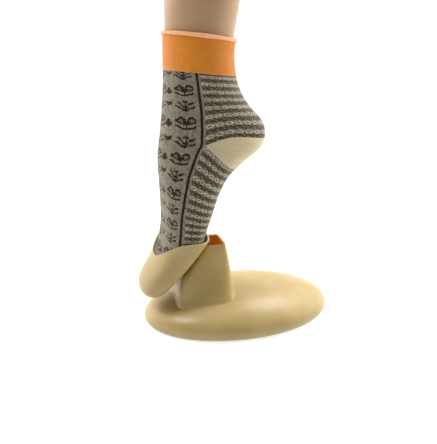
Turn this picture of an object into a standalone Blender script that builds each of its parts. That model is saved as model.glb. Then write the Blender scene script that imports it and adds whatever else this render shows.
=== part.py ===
"""Sock display stand: a weighted oval base with a hollow post, a toe cup that hooks onto the post,
and a hollow foot form standing on its toes in the cup, dressed in a knitted sock.

Metres, +Z up. The origin is the centre of the base on the ground, the toes point to -X, and the
foot and the stand are symmetric about the plane Y = 0.
"""

import math

import bmesh
import bpy
from mathutils import Matrix, Vector

# Base: an oval dome, an exact ellipsoid above its widest line and tucked in below it.
BASE_HALF_LENGTH = 0.110
BASE_HALF_WIDTH = 0.0703
WIDEST_HEIGHT = 0.0088
DOME_RISE = 0.0311
EDGE_TUCK = 0.0044
EDGE_TURN = math.radians(60.0)
EDGE_STEPS = 3
SHELL_WALL = 0.0025
SHELL_BOTTOM = 0.0005
UNDER_SHELL = 0.0031
PAD_THICKNESS = 0.0015
COVER_BOTTOM = 0.0018
COVER_TOP = 0.0053
BALLAST_BOTTOM = 0.0056
BALLAST_TOP = 0.0126
BALLAST_HALF_LENGTH = 0.078
BALLAST_HALF_WIDTH = 0.046
GAP = 0.0003
# Heights for helpers: one above the whole dome, and one well under its crown.
ABOVE_DOME = 0.045
UNDER_CROWN = 0.020

# Screws and the bosses that they go into.
BOSS_RADIUS = 0.004
SCREW_RADIUS = 0.0015
SCREW_LENGTH = 0.010
SCREW_TIP = 0.0022
SCREW_POINT = 0.0004
HEAD_RADIUS = 0.0032
HEAD_HEIGHT = 0.0021
COVER_SCREWS = [(x, y) for x in (-0.078, 0.078) for y in (-0.034, 0.034)]
BALLAST_SCREWS = [(0.0, -0.030), (0.0, 0.030)]
POST_SCREWS = [(-0.062, 0.0), (-0.026, 0.0)]
POST_SCREW_LENGTH = 0.012
POST_BOSS_HEIGHT = 0.018
POST_BOSS_SINK = 0.006
WEB_REACHES = [0.0095, 0.0130]
WEB_THICKNESS = 0.0024
WEB_INSET = 0.001

# Post: height, front, back, half width, how much narrower it is at the front than in the middle,
# and the powers of its front and back corners. The last section lies inside the dome, which trims it.
POST_WALL = 0.0022
POST_POINTS = 44
POST_SECTIONS = [
    (0.0940, -0.0406, -0.0187, 0.0180, 0.00, 8.0, 8.0),
    (0.0770, -0.0548, -0.0153, 0.0234, 0.04, 8.0, 6.5),
    (0.0620, -0.0672, -0.0130, 0.0284, 0.10, 8.0, 5.5),
    (0.0520, -0.0715, -0.0116, 0.0318, 0.16, 8.5, 4.8),
    (0.0440, -0.0740, -0.0104, 0.0350, 0.22, 9.0, 4.3),
    (0.0390, -0.0752, -0.0096, 0.0376, 0.26, 9.0, 4.2),
    (0.0360, -0.0760, -0.0090, 0.0394, 0.29, 9.0, 4.2),
    (0.0230, -0.0770, -0.0075, 0.0465, 0.31, 9.0, 4.2),
]

# Foot form: height, front, back, half width, where it is widest (0 front, 1 back), power of the
# back half. The first section is the tip of the toes, and the last is the open top of the leg.
FOOT_SECTIONS = [
    (0.0412, -0.1020, -0.1010, 0.0005, 0.50, 2.2),
    (0.0420, -0.1060, -0.0975, 0.0110, 0.50, 2.2),
    (0.0446, -0.1092, -0.0925, 0.0195, 0.50, 2.3),
    (0.0490, -0.1108, -0.0880, 0.0260, 0.50, 2.4),
    (0.0550, -0.1095, -0.0825, 0.0300, 0.52, 2.6),
    (0.0640, -0.1045, -0.0753, 0.0335, 0.55, 2.5),
    (0.0770, -0.0965, -0.0645, 0.0370, 0.55, 2.6),
    (0.0950, -0.0896, -0.0497, 0.0390, 0.55, 2.8),
    (0.1150, -0.0858, -0.0425, 0.0385, 0.55, 3.0),
    (0.1350, -0.0850, -0.0340, 0.0365, 0.52, 2.8),
    (0.1550, -0.0855, -0.0253, 0.0340, 0.50, 2.6),
    (0.1720, -0.0862, -0.0135, 0.0330, 0.46, 2.4),
    (0.1860, -0.0866, 0.0030, 0.0320, 0.43, 2.4),
    (0.2000, -0.0855, 0.0210, 0.0315, 0.40, 2.5),
    (0.2130, -0.0834, 0.0250, 0.0315, 0.39, 2.6),
    (0.2260, -0.0819, 0.0212, 0.0315, 0.40, 2.4),
    (0.2400, -0.0803, 0.0082, 0.0315, 0.43, 2.2),
    (0.2560, -0.0788, -0.0022, 0.0310, 0.46, 2.1),
    (0.2760, -0.0779, -0.0082, 0.0305, 0.49, 2.0),
    (0.3000, -0.0773, -0.0092, 0.0305, 0.50, 2.0),
    (0.3300, -0.0766, -0.0042, 0.0315, 0.50, 2.0),
    (0.3600, -0.0765, 0.0002, 0.0330, 0.50, 2.0),
    (0.3920, -0.0767, 0.0042, 0.0350, 0.50, 2.0),
]
FOOT_POINTS = 28
FRONT_POWER = 2.1
FORM_WALL = 0.0025
CAP_THICKNESS = 0.0028
CAP_SKIRT = 0.008
CAP_SKIRT_WALL = 0.002
CAP_SLACK = 0.0018
CAP_CHAMFER = 0.0012
# The joint's place is the tip of the toes, where they stand in the cup.
FORM_JOINT_PLACE = (-0.103, 0.0, 0.038)

# Sock: its skin lies a gap outside the form. Planes that tilt down towards the heel part the
# cuff, and a wedge whose corner is on the side of the ankle holds the heel.
SOCK_GAP = 0.0005
SOCK_WALL = 0.0014
CUFF_TILT = math.radians(6.0)
CUFF_TOP = 0.3066
CUFF_BOTTOM = 0.2744
CUFF_AXIS_X = -0.042
EDGE_RADIUS = 0.0018
BETWEEN_CUFF_AND_LEG_TOP = 0.35
HEEL_CORNER = (-0.0445, 0.2060)
HEEL_UP_ANGLE = math.radians(5.0)
HEEL_DOWN_ANGLE = math.radians(-40.0)
TOE_SEAM = 0.0830

# Toe cup: a wall outside the sock, cut along a rim line, with a hook over the post's front rim.
# It follows the toes up to their widest section and then opens along the way the foot pulls out.
CUP_CLEARANCE = 0.0003
CUP_WALL = 0.0020
CUP_FOLLOWS_FOOT_TO = 0.096
CUP_CUTTER_TOP = 0.130
CUP_CUTTER_BACK = -0.020
CUP_CUTTER_HALF_WIDTH = 0.060
CUP_MOUTH = [
    (0.1060, -0.0868, -0.0425, 0.0405, 0.55, 3.0),
    (0.1180, -0.0840, -0.0340, 0.0420, 0.55, 3.0),
]
CUP_RIM = [
    (-0.1250, 0.0800),
    (-0.1000, 0.0835),
    (-0.0961, 0.0856),
    (-0.0919, 0.0903),
    (-0.0871, 0.0953),
    (-0.0817, 0.1002),
    (-0.0748, 0.1046),
    (-0.0665, 0.1064),
    (-0.0581, 0.1066),
    (-0.0500, 0.1060),
    (-0.0440, 0.1056),
    (-0.0300, 0.1056),
]
HOOK_HALF_WIDTH = 0.010
HOOK_SEAT = (-0.0395, 0.0, 0.0943)
HOOK_OUTLINE = [
    (-0.0445, 0.0915),
    (-0.0438, 0.0960),
    (-0.0422, 0.0990),
    (-0.0402, 0.1002),
    (-0.0380, 0.0996),
    (-0.0364, 0.0978),
    (-0.0357, 0.0950),
    (-0.0355, 0.0862),
    (-0.0361, 0.0850),
    (-0.0371, 0.0850),
    (-0.0377, 0.0862),
    (-0.0380, 0.0943),
    (-0.0409, 0.0943),
    (-0.0425, 0.0930),
]

COLLECTION = "sock_display_stand"
CUTTERS = "cutters"


# ---- scene helpers


def clear_scene():
    for obj in list(bpy.data.objects):
        bpy.data.objects.remove(obj, do_unlink=True)


def collection(name):
    found = bpy.data.collections.get(name)
    if found is None:
        found = bpy.data.collections.new(name)
        bpy.context.scene.collection.children.link(found)
    return found


def material(name, colour, roughness, metallic=0.0):
    made = bpy.data.materials.get(name)
    if made is None:
        made = bpy.data.materials.new(name)
        made.use_nodes = True
        shader = made.node_tree.nodes["Principled BSDF"]
        shader.inputs["Base Color"].default_value = (*colour, 1.0)
        shader.inputs["Roughness"].default_value = roughness
        shader.inputs["Metallic"].default_value = metallic
        made.diffuse_color = (*colour, 1.0)
    return made


TAN_PLASTIC = ("tan_plastic", (0.62, 0.47, 0.22), 0.42)
DARK_COVER = ("cover_plastic", (0.10, 0.09, 0.08), 0.55)
PAD_FOAM = ("pad_foam", (0.05, 0.05, 0.05), 0.90)
CAST_IRON = ("ballast_iron", (0.16, 0.16, 0.17), 0.60, 0.9)
SCREW_STEEL = ("screw_steel", (0.62, 0.63, 0.65), 0.30, 1.0)
FORM_PLASTIC = ("form_plastic", (0.42, 0.28, 0.18), 0.50)
PATTERN_KNIT = ("pattern_knit", (0.38, 0.34, 0.27), 0.95)
CREAM_KNIT = ("cream_knit", (0.62, 0.52, 0.36), 0.95)
ORANGE_KNIT = ("orange_knit", (0.78, 0.34, 0.07), 0.95)
PEACH_KNIT = ("peach_knit", (0.95, 0.55, 0.32), 0.95)


def add_object(name, mesh, finish=None, parent=None, origin=(0.0, 0.0, 0.0)):
    """Links a mesh whose points are in world space, with its object's origin where asked."""
    mesh.transform(Matrix.Translation(-Vector(origin)))
    obj = bpy.data.objects.new(name, mesh)
    obj.location = origin
    if finish:
        mesh.materials.append(material(*finish))
        collection(COLLECTION).objects.link(obj)
    else:
        collection(CUTTERS).objects.link(obj)
        obj.hide_render = True
        obj.display_type = "WIRE"
    if parent:
        obj.parent = parent
        obj.location = Vector(origin) - parent.location
    return obj


def mesh_of(name, bm, recalculate=True):
    """Makes the mesh. An open surface keeps the normals that it has."""
    if recalculate:
        bmesh.ops.recalc_face_normals(bm, faces=bm.faces)
    mesh = bpy.data.meshes.new(name)
    bm.to_mesh(mesh)
    bm.free()
    return mesh


def shade(obj, angle=math.radians(35.0)):
    obj.data.shade_smooth()
    obj.data.set_sharp_from_angle(angle=angle)
    return obj


def solidify(obj, thickness, offset):
    modifier = obj.modifiers.new("wall", "SOLIDIFY")
    modifier.thickness = thickness
    modifier.offset = offset
    modifier.use_even_offset = True
    return modifier


def boolean(obj, other, operation):
    modifier = obj.modifiers.new(operation.lower() + "_" + other.name, "BOOLEAN")
    modifier.operation = operation
    modifier.object = other
    modifier.solver = "EXACT"
    return modifier


def empty(name, location):
    obj = bpy.data.objects.new(name, None)
    obj.location = location
    collection(COLLECTION).objects.link(obj)
    return obj


# ---- shape helpers


def section(front, back, half_width, height, widest, front_power, back_power, count):
    """One closed ring of points: two half superellipses that meet where the section is widest."""
    centre = front + (back - front) * widest
    ring = []
    for step in range(count):
        angle = 2.0 * math.pi * (step + 0.5) / count
        along, across = math.cos(angle), math.sin(angle)
        reach, power = (back - centre, back_power) if along > 0 else (centre - front, front_power)
        x = centre + math.copysign(reach * abs(along) ** (2.0 / power), along)
        y = math.copysign(half_width * abs(across) ** (2.0 / power), across)
        ring.append(Vector((x, y, height)))
    return ring


def smooth_rows(rows, steps):
    """Catmull-Rom rows through the given ones, with this many steps from each to the next."""
    padded = [rows[0], *rows, rows[-1]]
    result = []
    for before, start, end, after in zip(padded, padded[1:], padded[2:], padded[3:]):
        for step in range(steps):
            t = step / steps
            result.append([catmull(*values, t) for values in zip(before, start, end, after)])
    result.append(list(rows[-1]))
    return result


def catmull(p0, p1, p2, p3, t):
    return 0.5 * (
        2 * p1
        + (p2 - p0) * t
        + (2 * p0 - 5 * p1 + 4 * p2 - p3) * t**2
        + (3 * p1 - p0 - 3 * p2 + p3) * t**3
    )


def bridge(bm, rings, close_first=False):
    """Quads between each ring of points and the next."""
    loops = [[bm.verts.new(point) for point in ring] for ring in rings]
    for lower, upper in zip(loops, loops[1:]):
        for i in range(len(lower)):
            j = (i + 1) % len(lower)
            bm.faces.new((lower[i], lower[j], upper[j], upper[i]))
    if close_first:
        bm.faces.new(loops[0])
    return loops


def foot_surface(offset, sections=tuple(FOOT_SECTIONS)):
    """The form's outer surface, or another through such sections, open at the top and moved out."""
    bm = bmesh.new()
    rings = [
        section(front, back, half_width, z, widest, FRONT_POWER, power, FOOT_POINTS)
        for z, front, back, half_width, widest, power in sections
    ]
    bridge(bm, rings, close_first=True)
    bmesh.ops.recalc_face_normals(bm, faces=bm.faces)
    bm.normal_update()
    places = [vert.co + vert.normal * offset for vert in bm.verts]
    top = max(vert.co.z for vert in bm.verts)
    for vert, place in zip(bm.verts, places):
        on_top = vert.co.z > top - 1e-6
        vert.co = place
        if on_top:
            vert.co.z = top
    return bm


def cut(bm, point, normal, keep_above):
    """Cuts the surface along a plane and keeps the side that the normal points to, or the other."""
    bmesh.ops.bisect_plane(
        bm,
        geom=[*bm.verts, *bm.edges, *bm.faces],
        dist=1e-6,
        plane_co=point,
        plane_no=normal,
        clear_inner=keep_above,
        clear_outer=not keep_above,
    )


def cylinder(bm, x, y, low, high, radius, segments=16):
    made = bmesh.ops.create_cone(
        bm,
        cap_ends=True,
        segments=segments,
        radius1=radius,
        radius2=radius,
        depth=high - low,
        matrix=Matrix.Translation((x, y, (low + high) / 2)),
    )
    return made["verts"]


def oval_plate(half_length, half_width, low, high, segments=48):
    bm = bmesh.new()
    verts = cylinder(bm, 0.0, 0.0, low, high, 1.0, segments)
    bmesh.ops.scale(bm, vec=(half_length, half_width, 1.0), verts=verts)
    return bm


def drill(obj, name, places, low, high, radius):
    """Cuts the same round hole at each of these places."""
    for number, (x, y) in enumerate(places, 1):
        bm = bmesh.new()
        cylinder(bm, x, y, low, high, radius)
        boolean(obj, add_object(f"{name}_{number}", mesh_of(name, bm)), "DIFFERENCE")


def dome_height(x, y, inset=0.0):
    """Height of the dome's outer surface, or of one that lies a little inside it."""
    left = 1.0 - (x / (BASE_HALF_LENGTH - inset)) ** 2 - (y / (BASE_HALF_WIDTH - inset)) ** 2
    return WIDEST_HEIGHT + (DOME_RISE - inset) * math.sqrt(max(left, 0.0))


def dome_surface(inset=0.0, bottom=SHELL_BOTTOM, segments=44, rows=16):
    """Half an ellipsoid with a rounded edge that tucks in below the widest line, open underneath."""
    bm = bmesh.new()
    bmesh.ops.create_uvsphere(bm, u_segments=segments, v_segments=rows, radius=1.0)
    cut(bm, (0.0, 0.0, 0.0), (0.0, 0.0, 1.0), keep_above=True)
    reach = (BASE_HALF_LENGTH - inset, BASE_HALF_WIDTH - inset, DOME_RISE - inset)
    bmesh.ops.scale(bm, vec=reach, verts=bm.verts)
    bmesh.ops.translate(bm, vec=(0.0, 0.0, WIDEST_HEIGHT), verts=bm.verts)
    tuck = 0.0
    for step in range(1, EDGE_STEPS + 1):
        edges = [edge for edge in bm.edges if edge.is_boundary]
        made = bmesh.ops.extrude_edge_only(bm, edges=edges)["geom"]
        ring = [item for item in made if isinstance(item, bmesh.types.BMVert)]
        angle = EDGE_TURN * step / EDGE_STEPS
        height = WIDEST_HEIGHT - (WIDEST_HEIGHT - bottom) * math.sin(angle) / math.sin(EDGE_TURN)
        new_tuck = EDGE_TUCK * (1.0 - math.cos(angle)) / (1.0 - math.cos(EDGE_TURN))
        for vert in ring:
            vert.co.x *= (reach[0] - new_tuck) / (reach[0] - tuck)
            vert.co.y *= (reach[1] - new_tuck) / (reach[1] - tuck)
            vert.co.z = height
        tuck = new_tuck
    return bm


def closed_dome(name, inset, bottom):
    """A solid dome, used to trim what meets the shell."""
    bm = dome_surface(inset, bottom)
    bmesh.ops.holes_fill(bm, edges=[edge for edge in bm.edges if edge.is_boundary])
    return add_object(name, mesh_of(name, bm))


# ---- the stand


def base_shell():
    shell = add_object("base_shell", mesh_of("base_shell", dome_surface(), False), TAN_PLASTIC)
    solidify(shell, SHELL_WALL, -1.0)
    core = closed_dome("dome_core", SHELL_WALL / 2, SHELL_BOTTOM)
    bosses = [(place, COVER_TOP + GAP) for place in COVER_SCREWS]
    bosses += [(place, BALLAST_TOP + GAP) for place in BALLAST_SCREWS]
    for number, ((x, y), low) in enumerate(bosses, 1):
        bm = bmesh.new()
        cylinder(bm, x, y, low, ABOVE_DOME, BOSS_RADIUS)
        boss = add_object(f"boss_{number}", mesh_of("boss", bm))
        boolean(boss, core, "INTERSECT")
        boolean(shell, boss, "UNION")
    hole = SCREW_RADIUS + GAP
    drill(shell, "cover_pilot", COVER_SCREWS, 0.0, COVER_TOP + SCREW_LENGTH, hole)
    drill(shell, "ballast_pilot", BALLAST_SCREWS, 0.0, BALLAST_TOP + SCREW_LENGTH, hole)
    drill(shell, "post_hole", POST_SCREWS, UNDER_CROWN, ABOVE_DOME, hole)
    return shade(shell)


def plate_in_shell(low, high):
    """An oval plate that lies just inside the shell's lower edge."""
    inset = EDGE_TUCK + SHELL_WALL + 2 * GAP
    return oval_plate(BASE_HALF_LENGTH - inset, BASE_HALF_WIDTH - inset, low, high)


def bottom_cover():
    mesh = mesh_of("cover", plate_in_shell(COVER_BOTTOM, COVER_TOP))
    cover = add_object("base_bottom_cover", mesh, DARK_COVER)
    drill(cover, "cover_hole", COVER_SCREWS, 0.0, 2 * COVER_TOP, SCREW_RADIUS + GAP)
    head_seat = COVER_BOTTOM + GAP + HEAD_HEIGHT + GAP
    drill(cover, "cover_counterbore", COVER_SCREWS, 0.0, head_seat, HEAD_RADIUS + GAP)
    return shade(cover)


def anti_slip_pad():
    mesh = mesh_of("pad", plate_in_shell(0.0, PAD_THICKNESS))
    return shade(add_object("anti_slip_pad", mesh, PAD_FOAM))


def ballast_plate():
    bm = oval_plate(BALLAST_HALF_LENGTH, BALLAST_HALF_WIDTH, BALLAST_BOTTOM, BALLAST_TOP)
    plate = add_object("ballast_plate", mesh_of("ballast", bm), CAST_IRON)
    drill(plate, "ballast_hole", BALLAST_SCREWS, 0.0, 2 * BALLAST_TOP, SCREW_RADIUS + GAP)
    head_seat = BALLAST_BOTTOM + GAP + HEAD_HEIGHT + GAP
    drill(plate, "ballast_counterbore", BALLAST_SCREWS, 0.0, head_seat, HEAD_RADIUS + GAP)
    return shade(plate)


def screw_mesh(name, length):
    """A pan-head screw, head down, turned from a half profile that runs from the tip to the head."""
    profile = [
        (0.0, HEAD_HEIGHT + length),
        (SCREW_RADIUS * 0.45, HEAD_HEIGHT + length - SCREW_POINT),
        (SCREW_RADIUS, HEAD_HEIGHT + length - SCREW_TIP),
        (SCREW_RADIUS, HEAD_HEIGHT),
        (HEAD_RADIUS, HEAD_HEIGHT),
        (HEAD_RADIUS, HEAD_HEIGHT * 0.45),
        (HEAD_RADIUS * 0.75, HEAD_HEIGHT * 0.08),
        (0.0, 0.0),
    ]
    bm = bmesh.new()
    verts = [bm.verts.new((x, 0.0, z)) for x, z in profile]
    for upper, lower in zip(verts, verts[1:]):
        bm.edges.new((upper, lower))
    mesh = bpy.data.meshes.new(name)
    bm.to_mesh(mesh)
    bm.free()
    mesh.materials.append(material(*SCREW_STEEL))
    return mesh


def screws(name, mesh, places, heights):
    for number, ((x, y), z) in enumerate(zip(places, heights), 1):
        obj = bpy.data.objects.new(f"{name}_{number}", mesh)
        obj.location = (x, y, z)
        collection(COLLECTION).objects.link(obj)
        turn = obj.modifiers.new("turn", "SCREW")
        turn.axis = "Z"
        turn.steps = turn.render_steps = 14
        turn.use_merge_vertices = True
        turn.merge_threshold = 0.00001


def post():
    bm = bmesh.new()
    rings = []
    for z, front, back, half_width, pinch, front_power, back_power in POST_SECTIONS:
        ring = section(front, back, half_width, z, 0.5, front_power, back_power, POST_POINTS)
        for point in ring:
            point.y *= 1.0 - pinch * ((back - point.x) / (back - front)) ** 2
        rings.append(ring)
    bridge(bm, rings)
    obj = add_object("post", mesh_of("post", bm), TAN_PLASTIC)
    solidify(obj, POST_WALL, -1.0)
    skin = closed_dome("dome_skin", -GAP, 0.0)
    for number, (x, y) in enumerate(POST_SCREWS, 1):
        bm = bmesh.new()
        low, high = dome_height(x, y) - POST_BOSS_SINK, dome_height(x, y) + POST_BOSS_HEIGHT
        cylinder(bm, x, y, low, high, BOSS_RADIUS)
        # A web joins each boss to the post's nearer wall, in front of the first or behind the second.
        side = 1.0 if number == 1 else -1.0
        reach = WEB_REACHES[number - 1]
        web = bmesh.ops.create_cube(bm, size=1.0)["verts"]
        bmesh.ops.scale(bm, vec=(reach, WEB_THICKNESS, high - low - 2 * WEB_INSET), verts=web)
        bmesh.ops.translate(bm, vec=(x - side * reach / 2, y, (low + high) / 2), verts=web)
        boss = add_object(f"post_boss_{number}", mesh_of("post_boss", bm))
        boolean(obj, boss, "UNION").use_self = True
    boolean(obj, skin, "DIFFERENCE")
    high = dome_height(*POST_SCREWS[1]) + POST_SCREW_LENGTH
    drill(obj, "post_pilot", POST_SCREWS, UNDER_CROWN, high, SCREW_RADIUS + GAP)
    return shade(obj)


# ---- the toe cup


def toe_cup():
    sections = [row for row in FOOT_SECTIONS if row[0] < CUP_FOLLOWS_FOOT_TO] + CUP_MOUTH
    bm = foot_surface(SOCK_GAP + SOCK_WALL + CUP_CLEARANCE, sections)
    cup = add_object("toe_cup", mesh_of("toe_cup", bm, False), TAN_PLASTIC, origin=HOOK_SEAT)
    solidify(cup, CUP_WALL, 1.0)
    boolean(cup, rim_cutter(), "DIFFERENCE")
    boolean(cup, hook(), "UNION")
    return shade(cup)


def rim_cutter():
    """Everything above the rim line, as one block across the cup."""
    top = [(CUP_CUTTER_BACK, CUP_CUTTER_TOP), (CUP_RIM[0][0], CUP_CUTTER_TOP)]
    return prism("cup_rim_cutter", smooth_rows(CUP_RIM, 3) + top, CUP_CUTTER_HALF_WIDTH)


def prism(name, outline, half_width):
    """An outline in the plane Y = 0 as (x, z) points, made solid to both sides."""
    bm = bmesh.new()
    face = bm.faces.new([bm.verts.new((x, -half_width, z)) for x, z in outline])
    made = bmesh.ops.extrude_face_region(bm, geom=[face])["geom"]
    verts = [item for item in made if isinstance(item, bmesh.types.BMVert)]
    bmesh.ops.translate(bm, vec=(0.0, 2 * half_width, 0.0), verts=verts)
    return add_object(name, mesh_of(name, bm))


def hook():
    """A block on the back of the cup with a notch that sits over the post's front rim."""
    return prism("cup_hook", HOOK_OUTLINE, HOOK_HALF_WIDTH)


# ---- the foot form and the sock


def foot_form(joint):
    form = add_object("foot_form", mesh_of("foot_form", foot_surface(0.0), False), FORM_PLASTIC, joint)
    solidify(form, FORM_WALL, -1.0)
    return shade(form, math.radians(60.0))


def top_cap(joint):
    """A lid on the open leg, with a skirt that goes a little way down inside it."""
    top, front, back, half_width, widest, power = FOOT_SECTIONS[-1]
    slack = FORM_WALL + CAP_SLACK

    def ring(inset, z):
        sizes = (front + inset, back - inset, half_width - inset)
        return section(*sizes, z, widest, FRONT_POWER, power, FOOT_POINTS)

    bm = bmesh.new()
    rings = [
        ring(slack + CAP_SKIRT_WALL, top + GAP),
        ring(slack + CAP_SKIRT_WALL, top - CAP_SKIRT),
        ring(slack, top - CAP_SKIRT),
        ring(slack, top + GAP),
        ring(0.0, top + GAP),
        ring(0.0, top + GAP + CAP_THICKNESS - CAP_CHAMFER),
        ring(CAP_CHAMFER, top + GAP + CAP_THICKNESS),
    ]
    loops = bridge(bm, rings, close_first=True)
    bm.faces.new(loops[-1])
    cap = add_object("foot_form_top_cap", mesh_of("top_cap", bm), FORM_PLASTIC, joint)
    return shade(cap)


def cuff_plane(height):
    """A point on a plane that tilts down towards the heel, and its normal."""
    return (CUFF_AXIS_X, 0.0, height), (math.sin(CUFF_TILT), 0.0, math.cos(CUFF_TILT))


def in_heel(point, slack):
    """True behind the wedge's corner and between its two edges, with its edges moved out by slack."""
    x, z = point.x - HEEL_CORNER[0] + slack, point.z - HEEL_CORNER[1]
    up = z * math.cos(HEEL_UP_ANGLE) - x * math.sin(HEEL_UP_ANGLE)
    down = z * math.cos(HEEL_DOWN_ANGLE) - x * math.sin(HEEL_DOWN_ANGLE)
    return up < slack and down > -slack and x > 0


def heel_cuts(bm, slack):
    """Puts an edge in the surface along both edges of the heel's wedge."""
    for angle, sign in ((HEEL_UP_ANGLE, 1.0), (HEEL_DOWN_ANGLE, -1.0)):
        normal = Vector((-math.sin(angle), 0.0, math.cos(angle)))
        corner = Vector((HEEL_CORNER[0] - slack, 0.0, HEEL_CORNER[1])) + normal * slack * sign
        bmesh.ops.bisect_plane(
            bm,
            geom=[*bm.verts, *bm.edges, *bm.faces],
            dist=1e-6,
            plane_co=corner,
            plane_no=normal,
        )


def knit_section(name, finish, joint, low=None, high=None, heel=None):
    """A piece of the sock's skin between two planes. heel says whether it is the heel or the rest."""
    bm = foot_surface(SOCK_GAP)
    if low:
        cut(bm, *low, keep_above=True)
    if high:
        cut(bm, *high, keep_above=False)
    if heel is not None:
        slack = 0.0 if heel else GAP
        heel_cuts(bm, slack)
        strays = [f for f in bm.faces if in_heel(f.calc_center_median(), slack) != heel]
        bmesh.ops.delete(bm, geom=strays, context="FACES")
    obj = add_object(name, mesh_of(name, bm, False), finish, joint)
    solidify(obj, SOCK_WALL, 1.0)
    return shade(obj, math.radians(60.0))


def sock(joint):
    toe_end = (0.0, 0.0, TOE_SEAM), (0.0, 0.0, 1.0)
    body_start = (0.0, 0.0, TOE_SEAM + GAP), (0.0, 0.0, 1.0)
    body_end = cuff_plane(CUFF_BOTTOM - GAP)
    knit_section("sock_toe", CREAM_KNIT, joint, high=toe_end)
    knit_section("sock_body", PATTERN_KNIT, joint, body_start, body_end, heel=False)
    knit_section("sock_heel", CREAM_KNIT, joint, body_start, body_end, heel=True)
    cuff = (cuff_plane(CUFF_BOTTOM), cuff_plane(CUFF_TOP))
    knit_section("sock_cuff", ORANGE_KNIT, joint, *cuff)
    cuff_edge(joint)


def cuff_edge(joint):
    """The rolled edge: a round cord of knit around the leg, just above the cuff."""
    bm = foot_surface(SOCK_GAP + EDGE_RADIUS)
    point, normal = cuff_plane(CUFF_TOP + EDGE_RADIUS + GAP)
    cut(bm, point, normal, keep_above=True)
    rim = [
        e for e in bm.edges
        if e.is_boundary and max(v.co.z for v in e.verts) < BETWEEN_CUFF_AND_LEG_TOP
    ]
    start = rim[0].verts[0]
    loop, edge = [start.co.copy()], rim[0]
    vert = edge.other_vert(start)
    while vert != start:
        loop.append(vert.co.copy())
        edge = next(e for e in vert.link_edges if e in rim and e != edge)
        vert = edge.other_vert(vert)
    bm.free()
    curve = bpy.data.curves.new("cuff_edge", "CURVE")
    curve.dimensions = "3D"
    curve.bevel_depth = EDGE_RADIUS
    curve.bevel_resolution = 2
    spline = curve.splines.new("POLY")
    spline.points.add(len(loop) - 1)
    for target, place in zip(spline.points, loop):
        target.co = (*place, 1.0)
    spline.use_cyclic_u = True
    curve.materials.append(material(*PEACH_KNIT))
    obj = bpy.data.objects.new("sock_cuff_edge", curve)
    collection(COLLECTION).objects.link(obj)
    obj.parent = joint
    obj.location = -joint.location


def main():
    clear_scene()
    base_shell()
    bottom_cover()
    anti_slip_pad()
    ballast_plate()
    cover_head = COVER_BOTTOM + GAP
    screws("cover_screw", screw_mesh("cover_screw", SCREW_LENGTH), COVER_SCREWS, [cover_head] * 4)
    ballast_head = BALLAST_BOTTOM + GAP
    screws("ballast_screw", screw_mesh("ballast_screw", SCREW_LENGTH), BALLAST_SCREWS, [ballast_head] * 2)
    under = [dome_height(x, y) - UNDER_SHELL - GAP - HEAD_HEIGHT for x, y in POST_SCREWS]
    screws("post_screw", screw_mesh("post_screw", POST_SCREW_LENGTH), POST_SCREWS, under)
    post()
    toe_cup()
    joint = empty("foot_form_joint", FORM_JOINT_PLACE)
    foot_form(joint)
    top_cap(joint)
    sock(joint)


main()
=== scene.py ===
"""A shop display stand for socks: an oval base with a hollow post, a toe cup hooked on the post,
and a foot form that stands on its toes in the cup, dressed in a knitted sock."""

import math

import bmesh
import bpy
import numpy as np
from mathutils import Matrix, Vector


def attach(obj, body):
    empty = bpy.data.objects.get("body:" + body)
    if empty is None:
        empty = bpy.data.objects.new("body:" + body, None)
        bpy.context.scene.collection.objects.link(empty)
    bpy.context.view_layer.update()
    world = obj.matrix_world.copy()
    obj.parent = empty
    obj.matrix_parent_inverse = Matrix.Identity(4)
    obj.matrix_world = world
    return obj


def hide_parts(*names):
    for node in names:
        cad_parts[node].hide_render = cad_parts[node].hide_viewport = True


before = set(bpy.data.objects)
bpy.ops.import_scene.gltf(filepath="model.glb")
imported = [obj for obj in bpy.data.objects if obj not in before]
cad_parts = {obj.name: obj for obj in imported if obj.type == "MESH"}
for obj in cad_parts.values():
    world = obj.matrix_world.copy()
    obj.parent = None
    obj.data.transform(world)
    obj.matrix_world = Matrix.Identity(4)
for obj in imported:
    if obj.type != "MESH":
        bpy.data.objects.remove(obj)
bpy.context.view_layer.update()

# ---- sizes, in metres

BASE_HALF_LENGTH = 0.110
BASE_HALF_WIDTH = 0.0703
WIDEST_HEIGHT = 0.0088
DOME_RISE = 0.0311
EDGE_TUCK = 0.0044
SHELL_BOTTOM = 0.0005
SHELL_WALL = 0.0025
DOME_AROUND = 160
DOME_UP = 80
# The dome's edge curls under in this many steps through this angle.
EDGE_STEPS = 8
EDGE_TURN = math.radians(60.0)

# Post sections: height, front, back, half width, narrowing at the front, front and back powers.
POST_WALL = 0.0022
POST_SECTIONS = np.array([
    (0.0230, -0.0770, -0.0075, 0.0465, 0.31, 9.0, 4.2),
    (0.0360, -0.0760, -0.0090, 0.0394, 0.29, 9.0, 4.2),
    (0.0390, -0.0752, -0.0096, 0.0376, 0.26, 9.0, 4.2),
    (0.0440, -0.0740, -0.0104, 0.0350, 0.22, 9.0, 4.3),
    (0.0520, -0.0715, -0.0116, 0.0318, 0.16, 8.5, 4.8),
    (0.0620, -0.0672, -0.0130, 0.0284, 0.10, 8.0, 5.5),
    (0.0770, -0.0548, -0.0153, 0.0234, 0.04, 8.0, 6.5),
    (0.0940, -0.0406, -0.0187, 0.0180, 0.00, 8.0, 8.0),
])
POST_FILLET = 0.0008
POST_RIM_ROUNDING = 0.0008
POST_FOOT_RANGE = (0.020, 0.060)
# How far the post sinks into the dome, so that no gap shows.
SUNK = 0.0004
# Screw bosses inside the post, each with a web to the nearer wall.
BOSS_RADIUS = 0.0042
BOSS_HEIGHT = 0.018
BOSSES = [(-0.062, -0.0095), (-0.026, 0.0130)]
BOSS_SUNK = 0.0005
WEB_THICKNESS = 0.0026
WEB_BELOW_BOSS = 0.001

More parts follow.
